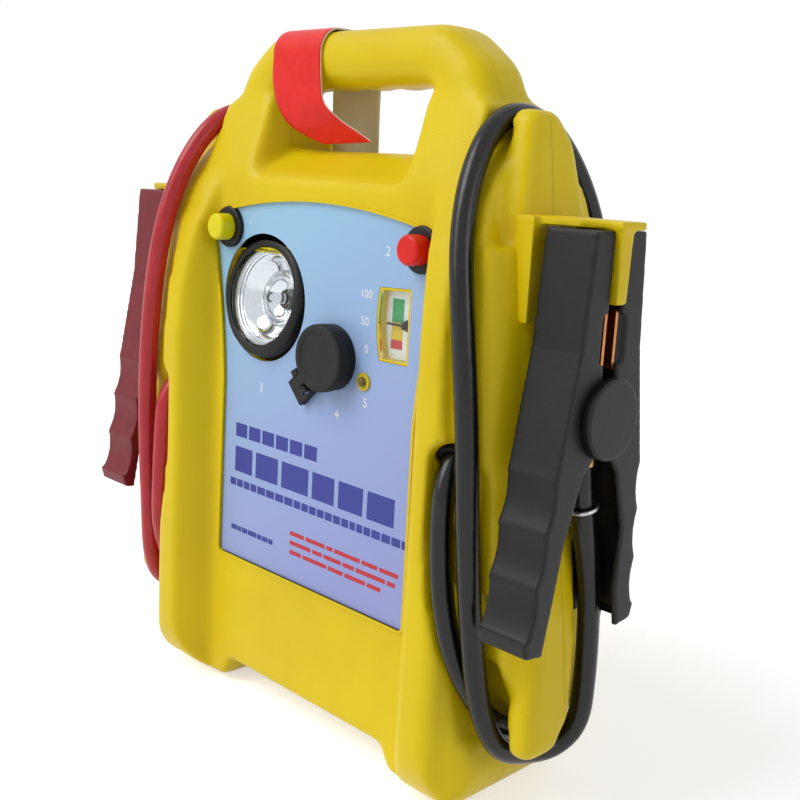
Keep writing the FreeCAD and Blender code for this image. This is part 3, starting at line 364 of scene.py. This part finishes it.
# The tag and the handle under it, in millimetres. A tail's rows give, for its left and its right
# edge, x, how far out from the grip's side it lies, and z.
GRIP_DEPTH, GRIP_ROUND = 42.0, 12.0
TAG_T, TAG_SLACK = 0.8, 0.6
TAG_LEFT, TAG_RIGHT = -57.0, -18.0
TAG_BACK = [((-56, 2.6, 319), (-18, 2.6, 319)), ((-56, 2.2, 330), (-18, 2.2, 330)),
            ((-56.5, 1.9, 342), (-18, 1.9, 342)), ((-57, 1.8, 356), (-18, 1.8, 356))]
TAG_FRONT = [((-56.5, 1.8, 358), (-16.5, 1.8, 358)), ((-52, 1.8, 345), (-13.5, 1.8, 346)),
             ((-44.5, -0.5, 335), (-7, -3.5, 338)), ((-36, -5, 329.5), (1, -9.5, 332)),
             ((-25, -9.5, 325), (8, -14, 327))]
SKIN_STEP = 2.2 * MM                # spacing of the case skin's mesh
SKIN_PASSES = 10                    # smoothing that gives the moulded corners their radius
HANDLE_PASSES = 24                  # further smoothing of the handle
HANDLE_HALF = 96 * MM               # half its width
SKIN_WALL = 3.0 * MM
SEAM_GAP = 0.35 * MM


def panel_outline(y_front, y_back):
    """Closed block with the printed panel's outline, for its recess."""
    form = bmesh.new()
    form.from_mesh(NODES["front_label"].data)
    bmesh.ops.remove_doubles(form, verts=form.verts, dist=0.005 * MM)
    front = min(v.co.y for v in form.verts)
    face_edges = [e for e in form.edges if all(abs(v.co.y - front) < 0.01 * MM for v in e.verts)
                  and any(any(abs(v.co.y - front) > 0.01 * MM for v in f.verts)
                          for f in e.link_faces)]
    start_edge = max(face_edges, key=lambda e: max(abs(v.co.x) for v in e.verts))
    loop, reached = {start_edge}, set(start_edge.verts)
    grown = True
    while grown:
        grown = False
        for edge in face_edges:
            if edge not in loop and reached & set(edge.verts):
                loop.add(edge)
                reached |= set(edge.verts)
                grown = True
    bmesh.ops.delete(form, geom=[e for e in form.edges if e not in loop], context="EDGES")
    bmesh.ops.delete(form, geom=[v for v in form.verts if v not in reached], context="VERTS")
    made = bmesh.ops.contextual_create(form, geom=list(form.edges))
    for vert in form.verts:
        vert.co.y = y_front
    pulled = bmesh.ops.extrude_face_region(form, geom=made["faces"])
    for vert in (v for v in pulled["geom"] if isinstance(v, bmesh.types.BMVert)):
        vert.co.y = y_back
    bmesh.ops.recalc_face_normals(form, faces=form.faces)
    return form


def case_skin():
    """The case as one smooth moulded surface, closed behind the panel and over the screws."""
    form = bmesh.new()
    for node in ("front_shell", "rear_shell"):
        form.from_mesh(NODES[node].data)
    bmesh.ops.remove_doubles(form, verts=form.verts, dist=0.005 * MM)
    low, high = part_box("front_label")
    surround = low.y - 1.2 * MM
    block(form, (low.x - 6 * MM, surround, low.z - 4 * MM), (high.x + 6 * MM, -20 * MM, high.z + 4 * MM))
    for x, z in screw_places():
        barrel(form, (x, z), 4.4 * MM, 40 * MM, 54.9 * MM, segments=24)
    skin = scratch("case_skin", form)
    remeshed(skin, SKIN_STEP, SKIN_PASSES)
    soften_handle(skin)
    return skin


def soften_handle(skin):
    """Ease the handle and the slope under it further than the rest, fading out at its ends."""
    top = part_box("front_label")[1].z
    group = skin.vertex_groups.new(name="handle")
    for vert in skin.data.vertices:
        above = (vert.co.z - top - 4 * MM) / (14 * MM)
        inboard = (HANDLE_HALF - abs(vert.co.x)) / (10 * MM)
        weight = max(0, min(1, above, inboard))
        if weight > 0:
            group.add([vert.index], weight, "REPLACE")
    ease = skin.modifiers.new("ease", "SMOOTH")
    ease.factor, ease.iterations, ease.vertex_group = 0.5, HANDLE_PASSES, "handle"
    settle(skin)


def screw_places():
    """Centres (x, z) of the case screws' heads."""
    graph = bmesh.new()
    graph.from_mesh(NODES["case_screws"].data)
    bmesh.ops.remove_doubles(graph, verts=graph.verts, dist=0.005 * MM)
    back = max(v.co.y for v in graph.verts)
    places = []
    for vert in graph.verts:
        if vert.co.y > back - 0.5 * MM:
            for place in places:
                if (Vector((vert.co.x, vert.co.z)) - place[0]).length < 12 * MM:
                    place.append(Vector((vert.co.x, vert.co.z)))
                    break
            else:
                places.append([Vector((vert.co.x, vert.co.z))])
    graph.free()
    return [sum(place, Vector((0, 0))) / len(place) for place in places]


PANEL_HOLES = (("lamp_bowl", 36.5), ("socket_liner", 13.7), ("light_bezel", 10.2),
               ("status_bezel", 10.2), ("charge_led", 3.6))


def clear_openings(skin):
    """Take away what is left of the skin's inner faces across the round openings."""
    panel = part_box("front_label")[1].y
    form = bmesh.new()
    form.from_mesh(skin.data)
    for node, radius in PANEL_HOLES:
        corner_a, corner_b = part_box(node)
        middle = (corner_a + corner_b) / 2
        across = []
        for face in form.faces:
            at = face.calc_center_median()
            off = math.hypot(at.x - middle.x, at.z - middle.z)
            if 1 * MM < at.y - panel < 16 * MM and off < (radius - 0.3) * MM:
                across.append(face)
        bmesh.ops.delete(form, geom=across, context="FACES")
    form.to_mesh(skin.data)
    form.free()


def panel_holes():
    """Closed shapes of the openings behind the printed panel."""
    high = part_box("front_label")[1]
    holes = bmesh.new()
    for node, radius in PANEL_HOLES:
        corner_a, corner_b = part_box(node)
        middle = (corner_a + corner_b) / 2
        barrel(holes, (middle.x, middle.z), radius * MM, high.y - 12 * MM, high.y + 12 * MM)
    corner_a, corner_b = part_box("gauge_case")
    block(holes, (corner_a.x, high.y - 12 * MM, corner_a.z), (corner_b.x, high.y + 14 * MM, corner_b.z))
    return holes


def make_case(material):
    skin = case_skin()
    low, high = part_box("front_label")
    cut_out(skin, panel_outline(low.y - 20 * MM, high.y))
    holes = panel_holes()
    for x, z in screw_places():
        barrel(holes, (x, z), 3.6 * MM, 42.5 * MM, 70 * MM, segments=32)
    cut_out(skin, holes)
    clear_openings(skin)
    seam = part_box("front_shell")[1].y
    for name, keep_front in (("front_shell", True), ("rear_shell", False)):
        form = bmesh.new()
        form.from_mesh(skin.data)
        sign = 1 if keep_front else -1
        bmesh.ops.bisect_plane(form, geom=form.verts[:] + form.edges[:] + form.faces[:],
                               plane_co=(0, seam - sign * SEAM_GAP / 2, 0),
                               plane_no=(0, sign, 0), clear_outer=True)
        half = finished(name + "_skin", form, material, "case", [name])
        wall = half.modifiers.new("wall", "SOLIDIFY")
        wall.thickness, wall.offset = SKIN_WALL, -1
        settle(half)
    discard(skin)


# ---- label bead, lamp, tag and clamps ---------------------------------------------------------
def make_label_bead(material):
    """Thin raised lip that frames the printed panel."""
    low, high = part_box("front_label")
    panel = panel_outline(low.y, high.y)
    face = max(panel.faces, key=lambda f: len(f.verts))
    inner = [vert.co.copy() for vert in face.verts]
    panel.free()
    turning = sum(p.x * q.z - q.x * p.z for p, q in zip(inner, inner[1:] + inner[:1]))
    outer = []
    for before, here, after in zip(inner[-1:] + inner[:-1], inner, inner[1:] + inner[:1]):
        along = (after - before).normalized()
        out = Vector((along.z, 0, -along.x)) * math.copysign(BEAD_W, turning)
        outer.append(here + out)
    form = bmesh.new()
    rings = []
    for ring, y in ((inner, high.y), (inner, low.y - BEAD_PROUD), (outer, low.y - BEAD_PROUD),
                    (outer, high.y)):
        rings.append([form.verts.new((point.x, y, point.z)) for point in ring])
    count = len(inner)
    for ring, following in zip(rings, rings[1:] + rings[:1]):
        for i in range(count):
            j = (i + 1) % count
            form.faces.new((ring[i], ring[j], following[j], following[i]))
    finished("label_bead", form, material, "case", ())


def moulding(name, node, material, body, step, passes, cuts=None):
    """Replace a CAD node by the same shape with its corners eased, as a mould leaves them."""
    form = bmesh.new()
    form.from_mesh(NODES[node].data)
    bmesh.ops.remove_doubles(form, verts=form.verts, dist=0.005 * MM)
    rough = scratch(name, form)
    if cuts:
        cut_out(rough, cuts)
    remeshed(rough, step * MM, passes)
    form = bmesh.new()
    form.from_mesh(rough.data)
    discard(rough)
    return finished(name, form, material, body, [node])


WINDOW_HALF = 8.5 * MM              # the clamp's window: half its width, its foot and its top
WINDOW_FOOT, WINDOW_TOP = 236 * MM, 258 * MM


def make_levers(side, sign, material):
    """The two clamp levers, each with half of the window that shows the copper jaws."""
    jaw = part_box(side + "_jaw_front")
    outside = max(abs(jaw[0].x), abs(jaw[1].x))
    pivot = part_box(side + "_clamp_pin")
    middle = (pivot[0].y + pivot[1].y) / 2
    levers = []
    for part, body in (("front", side + "_front_lever"), ("rear", "case")):
        window = bmesh.new()
        ends = sorted((sign * (outside - 0.6 * MM), sign * (outside + 9 * MM)))
        block(window, (ends[0], middle - WINDOW_HALF, WINDOW_FOOT),
              (ends[1], middle + WINDOW_HALF, WINDOW_TOP))
        levers.append(moulding(side + "_lever_" + part, side + "_clamp_" + part, material, body,
                               0.9, 3, cuts=window))
    return levers


def turned(form, centre):
    """Turn an outline in the plane of X and Y right round the lamp's axis."""
    bmesh.ops.spin(form, geom=form.verts[:] + form.edges[:], cent=centre, axis=(0, 1, 0),
                   angle=2 * math.pi, steps=LAMP_STEPS, use_merge=True)
    bmesh.ops.remove_doubles(form, verts=form.verts, dist=0.005 * MM)
    tip = Matrix.Rotation(-LAMP_TILT, 3, "X")
    bmesh.ops.rotate(form, verts=form.verts, cent=centre, matrix=tip)
    return form


def profile(points, centre):
    """Open outline of (radius, y) points about the lamp's axis, in millimetres."""
    form = bmesh.new()
    verts = [form.verts.new(centre + Vector((r, y, 0)) * MM) for r, y in points]
    for a, b in zip(verts, verts[1:]):
        form.edges.new((a, b))
    return form


def make_lamp(chrome, clear):
    """Thin domed lens, and a reflector with ridges, a step and an inner bowl."""
    centre = next(Vector(j["pos_m"]) for j in frame["joints"] if j["name"] == "lamp_tilt")
    # Points are (radius, y from the lamp's centre): a closed outline for the lens, an open bowl.
    outside = [(27.2 * math.cos(a), -8.0 - 2.2 * math.sin(a)) for a in (0, 0.3, 0.6, 0.9, 1.2)]
    inside = [(26.4 * math.cos(a), -7.3 - 2.2 * math.sin(a)) for a in (1.2, 0.9, 0.6, 0.3, 0)]
    lens = [(27.2, -6.6)] + outside + [(0, -10.2), (0, -9.5)] + inside + [(26.4, -6.6), (27.2, -6.6)]
    finished("lamp_glass", turned(profile(lens, centre), centre), clear, "lamp", ["lamp_lens"])
    bowl = [(27.0, -6.4), (26.0, -6.2), (26.2, -5.0), (25.1, -4.6), (25.2, -3.4), (24.2, -3.0),
            (24.2, -1.8), (23.2, -1.4)]
    bowl += [(23.2 - 8.2 * t, -1.4 + 7.2 * t ** 0.8) for t in (0.2, 0.4, 0.6, 0.8, 1.0)]
    bowl += [(14.9, 4.6), (14.2, 4.4), (13.8, 5.2), (13.6, 6.6)]
    bowl += [(13.6 - 7.4 * t, 6.6 + 5.0 * t ** 0.6) for t in (0.25, 0.5, 0.75, 1.0)]
    bowl += [(5.6, 12.4)]
    form = turned(profile(bowl, centre), centre)
    reflector = finished("lamp_mirror", form, chrome, "lamp", ["lamp_reflector"])
    wall = reflector.modifiers.new("wall", "SOLIDIFY")
    wall.thickness, wall.offset = 0.4 * MM, 0
    settle(reflector)


def smooth_row(rows, place):
    """Point at a place between 0 and 1 along a row of points, on a smooth curve through them."""
    span = place * (len(rows) - 1)
    i = min(int(span), len(rows) - 2)
    t = span - i
    a, b, c, d = (rows[max(0, min(len(rows) - 1, i + k))] for k in (-1, 0, 1, 2))
    return 0.5 * (2 * b + (c - a) * t + (2 * a - 5 * b + 4 * c - d) * t ** 2
                  + (3 * b - 3 * c + d - a) * t ** 3)


def make_tag(back, front):
    """Soft tag looped over the grip: one tail turned in towards the hand hole, one straight."""
    half = GRIP_DEPTH / 2
    r = GRIP_ROUND + TAG_SLACK + TAG_T
    y0, z0 = half - GRIP_ROUND, cad_box[1].z / MM - r
    quarter = [math.radians(15 * step) for step in range(7)]
    loop = [(side * (y0 + r * math.cos(turn)), z0 + r * math.sin(turn))
            for side, turns in ((1, quarter), (-1, quarter[::-1])) for turn in turns]
    left, right = [], []
    for side, tail in ((1, TAG_BACK), (-1, TAG_FRONT)):
        if side < 0:
            left += [Vector((TAG_LEFT, y, z)) for y, z in loop]
            right += [Vector((TAG_RIGHT, y, z)) for y, z in loop]
        for edge, row in zip(zip(*tail), (left, right)):
            row += [Vector((x, side * (half + out), z)) for x, out, z in edge]
    form = bmesh.new()
    bmesh.ops.create_grid(form, x_segments=14, y_segments=120, size=0.5)
    for vert in form.verts:
        across, along = vert.co.x + 0.5, vert.co.y + 0.5
        vert.co = smooth_row(left, along).lerp(smooth_row(right, along), across) * MM
    tag = finished("grip_tag", form, back, "case", ["handle_tag"])
    tag.data.materials.append(front)
    wall = tag.modifiers.new("wall", "SOLIDIFY")
    wall.thickness, wall.offset = TAG_T * MM, 1
    wall.material_offset = 1        # the outer face takes the second material
    settle(tag)


# ---- printed marks on the panel --------------------------------------------------------------
def block_row(form, x, z, height, gap, widths, y):
    """Row of flat blocks facing the front, from a corner in millimetres, in place of a printed line."""
    for width in widths:
        corners = [(x, z), (x + width, z), (x + width, z + height), (x, z + height)]
        form.faces.new([form.verts.new((a * MM, y, b * MM)) for a, b in corners])
        x += width + gap


def figure(text, x, z, height, y):
    """Plain number, as a flat mesh."""
    curve = bpy.data.curves.new("figure", "FONT")
    curve.body = text
    curve.size = height * MM
    curve.align_x = "CENTER"
    letter = bpy.data.objects.new("figure", curve)
    bpy.context.scene.collection.objects.link(letter)
    graph = bpy.context.evaluated_depsgraph_get()
    graph.update()
    mesh = bpy.data.meshes.new_from_object(letter.evaluated_get(graph))
    bpy.data.objects.remove(letter)
    mesh.transform(Matrix.Translation((x * MM, y, z * MM)) @ Matrix.Rotation(math.pi / 2, 4, "X"))
    return mesh


INK_PROUD = 0.06 * MM
BLUE_ROWS = ((-66, 157, 8, (10.5,) * 6), (-66, 136, 15, (16, 20, 23, 18, 19, 20)),
             (-70, 127, 4.4, (5.4,) * 4 + (7.2,) * 4 + (5.6,) * 7 + (4.2, 4.6, 5) + (6.4,) * 4),
             (-68, 100, 3, (6, 3, 5, 8, 4, 5, 4)))      # left end, foot, height, widths
BLUE_GAP = 0.22                     # between blocks, as a share of their height
RED_ROWS = ((12, 16, 5, 20, 12, 14), (18, 8, 14, 9, 22, 6), (10, 20, 12, 16, 10))
RED_LEFT, RED_TOP, RED_PITCH = -14, 110.5, 5.5
RED_HEIGHT, RED_GAP = 2.4, 1.4
NUMBERS = (("1", -58, 279, 6), ("2", 52, 272, 7), ("3", -44, 187, 7), ("4", 20, 184, 7),
           ("5", 41, 194, 7), ("100", 38, 250, 6), ("50", 38, 236, 6), ("0", 40, 222, 6))


def make_print(blue, white, red):
    """Generic print on the panel: rows of blocks, and a number beside each control."""
    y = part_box("front_label")[0].y - INK_PROUD
    marks = bmesh.new()
    for x, z, height, widths in BLUE_ROWS:
        block_row(marks, x, z, height, BLUE_GAP * height, widths, y)
    finished("panel_stripes", marks, blue, "case", (), smooth=False)
    marks = bmesh.new()
    for row, widths in enumerate(RED_ROWS):
        block_row(marks, RED_LEFT, RED_TOP - RED_PITCH * row, RED_HEIGHT, RED_GAP, widths, y)
    finished("panel_rules", marks, red, "case", (), smooth=False)
    marks = bmesh.new()
    for text, x, z, height in NUMBERS:
        marks.from_mesh(figure(text, x, z, height, y))
    finished("panel_numbers", marks, white, "case", (), smooth=False)


# ---- everything ------------------------------------------------------------------------------
def dress(material, *nodes):
    """Give CAD nodes a material."""
    for node in nodes:
        NODES[node].material_slots[0].material = material


def seen_white(tree, strength):
    """That strength of white where the camera, or a glossy or clear surface, looks straight at it."""
    path = add(tree, "ShaderNodeLightPath").outputs
    total = add(tree, "ShaderNodeMath", {0: path["Is Camera Ray"], 1: path["Is Glossy Ray"]})
    total = add(tree, "ShaderNodeMath", {0: total.outputs[0], 1: path["Is Transmission Ray"]},
                use_clamp=True)
    scaled = add(tree, "ShaderNodeMath", {0: total.outputs[0], 1: strength}, operation="MULTIPLY")
    return scaled.outputs[0]


def set_light(data, place, target):
    lamp = bpy.data.objects.new(data.name, data)
    turn = (target - place).to_track_quat("-Z", "Y").to_matrix().to_4x4()
    lamp.matrix_world = Matrix.Translation(place) @ turn
    bpy.context.scene.collection.objects.link(lamp)


def make_stage():
    floor = bmesh.new()
    bmesh.ops.create_grid(floor, x_segments=1, y_segments=1, size=6)
    mesh = bpy.data.meshes.new("floor")
    floor.to_mesh(mesh)
    floor.free()
    plain, tree, shader, place = start("floor_paper", "#F4F4F4", 0.9)
    shader.inputs["Emission Color"].default_value = (1, 1, 1, 1)
    tree.links.new(seen_white(tree, FLOOR_LIFT), shader.inputs["Emission Strength"])
    mesh.materials.append(plain)
    piece = bpy.data.objects.new("floor", mesh)
    bpy.context.scene.collection.objects.link(piece)
    world = bpy.data.worlds.new("studio")
    bpy.context.scene.world = world
    world.use_nodes = True
    tree = world.node_tree
    white = tree.nodes["Background"]
    white.inputs["Color"].default_value = (1, 1, 1, 1)
    level = add(tree, "ShaderNodeMath", {0: seen_white(tree, 1 - WORLD_LIGHT), 1: WORLD_LIGHT})
    tree.links.new(level.outputs[0], white.inputs["Strength"])
    sun = bpy.data.lights.new("sun", "SUN")
    place, sun.energy, sun.angle = SUN
    set_light(sun, Vector(place), Vector((0, 0, 0)))
    for name, place, size, power in LAMPS:
        data = bpy.data.lights.new(name, "AREA")
        data.size, data.energy = size, power
        set_light(data, Vector(place), Vector((0, 0, 0.2)))
    bpy.context.scene.view_settings.view_transform = "Standard"


make_camera()
make_stage()

black_jacket = cable_jacket("black_pvc", "#09090A", "#0F0F10", 0.25)
red_jacket = cable_jacket("red_pvc", "#B0202A", "#C02A34", 0.28)
yellow = grained_abs()
black = moulded_plastic("black_abs", "#070708", "#0C0C0D", 0.45)
clamp_black = moulded_plastic("black_nylon", "#0B0B0C", "#121213", 0.45, size=0.9, depth=0.06)
clamp_red = moulded_plastic("red_nylon", "#6E1820", "#7E2028", 0.45, size=0.9, depth=0.06)
rubber = moulded_plastic("black_rubber", "#151515", "#1D1D1D", 0.6, size=0.8, depth=0.08)
steel = bare_metal("zinc_plate", "#A8A8A6", "#BDBDBA", 0.3)
brass = bare_metal("brass", "#B5925A", "#C8A468", 0.3)
copper = bare_metal("copper_plate", "#B0703E", "#C98A55", 0.28)
mirror = bare_metal("bright_reflector", "#DADADC", "#E2E2E4", 0.06)
clear = clear_plastic("clear_polycarbonate")
dress(black, "lamp_housing", "socket_body", "socket_nut",
      "light_bezel", "light_switch", "status_bezel", "status_switch", "battery",
      "gauge_movement", "gauge_needle")
dress(rubber, "lead_grommets", "battery_pads")
dress(clamp_black, "black_clamp_pin")
dress(clamp_red, "red_clamp_pin")
dress(steel, "case_screws", "holder_screws", "cable_rings", "cap_hinge_pin", "battery_strap",
      "black_clamp_spring", "red_clamp_spring", "socket_liner")
dress(brass, "battery_posts", "black_battery_lug", "red_battery_lug", "lead_ferrules", "socket_contact")
dress(copper, "black_jaw_front", "black_jaw_rear", "red_jaw_front", "red_jaw_rear")
dress(clear, "gauge_window", "lamp_bulb")
dress(yellow, "lamp_bowl", "gauge_case")
dress(moulded_plastic("gold_led_clip", "#C8B020", "#D2BC2A", 0.35), "led_clip")
dress(moulded_plastic("red_button_abs", "#E01C14", "#EA2418", 0.3), "status_button")
dress(moulded_plastic("yellow_button_abs", "#E8DC00", "#F0E400", 0.3), "light_button")
dress(moulded_plastic("amber_led", "#6A5A30", "#7A6A38", 0.15), "charge_led")
dress(moulded_plastic("green_board", "#1E5A30", "#24663A", 0.45), "circuit_board")
dress(printed_sheet(*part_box("front_label")), "front_label")
dress(gauge_card(*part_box("gauge_dial")), "gauge_dial")
make_case(yellow)
make_label_bead(yellow)
make_lamp(mirror, clear)
make_tag(moulded_plastic("pale_vinyl_back", "#E8E4DC", "#F0ECE4", 0.5),
         moulded_plastic("red_vinyl", "#E81E18", "#F4281E", 0.4))
moulding("outlet_cap", "socket_cap", rubber, "outlet_cap", 0.5, 3)
for side, jacket, nylon, sign in (("black", black_jacket, clamp_black, 1),
                                  ("red", red_jacket, clamp_red, -1)):
    moulding(side + "_holder", side + "_clamp_holder", yellow, "case", 0.9, 3)
    levers = make_levers(side, sign, nylon)
    make_lead(side, sign, jacket, levers)
make_print(print_ink("blue_ink", "#2E3896"), print_ink("white_ink", "#F4F6FA"),
           print_ink("red_ink", "#C02838"))
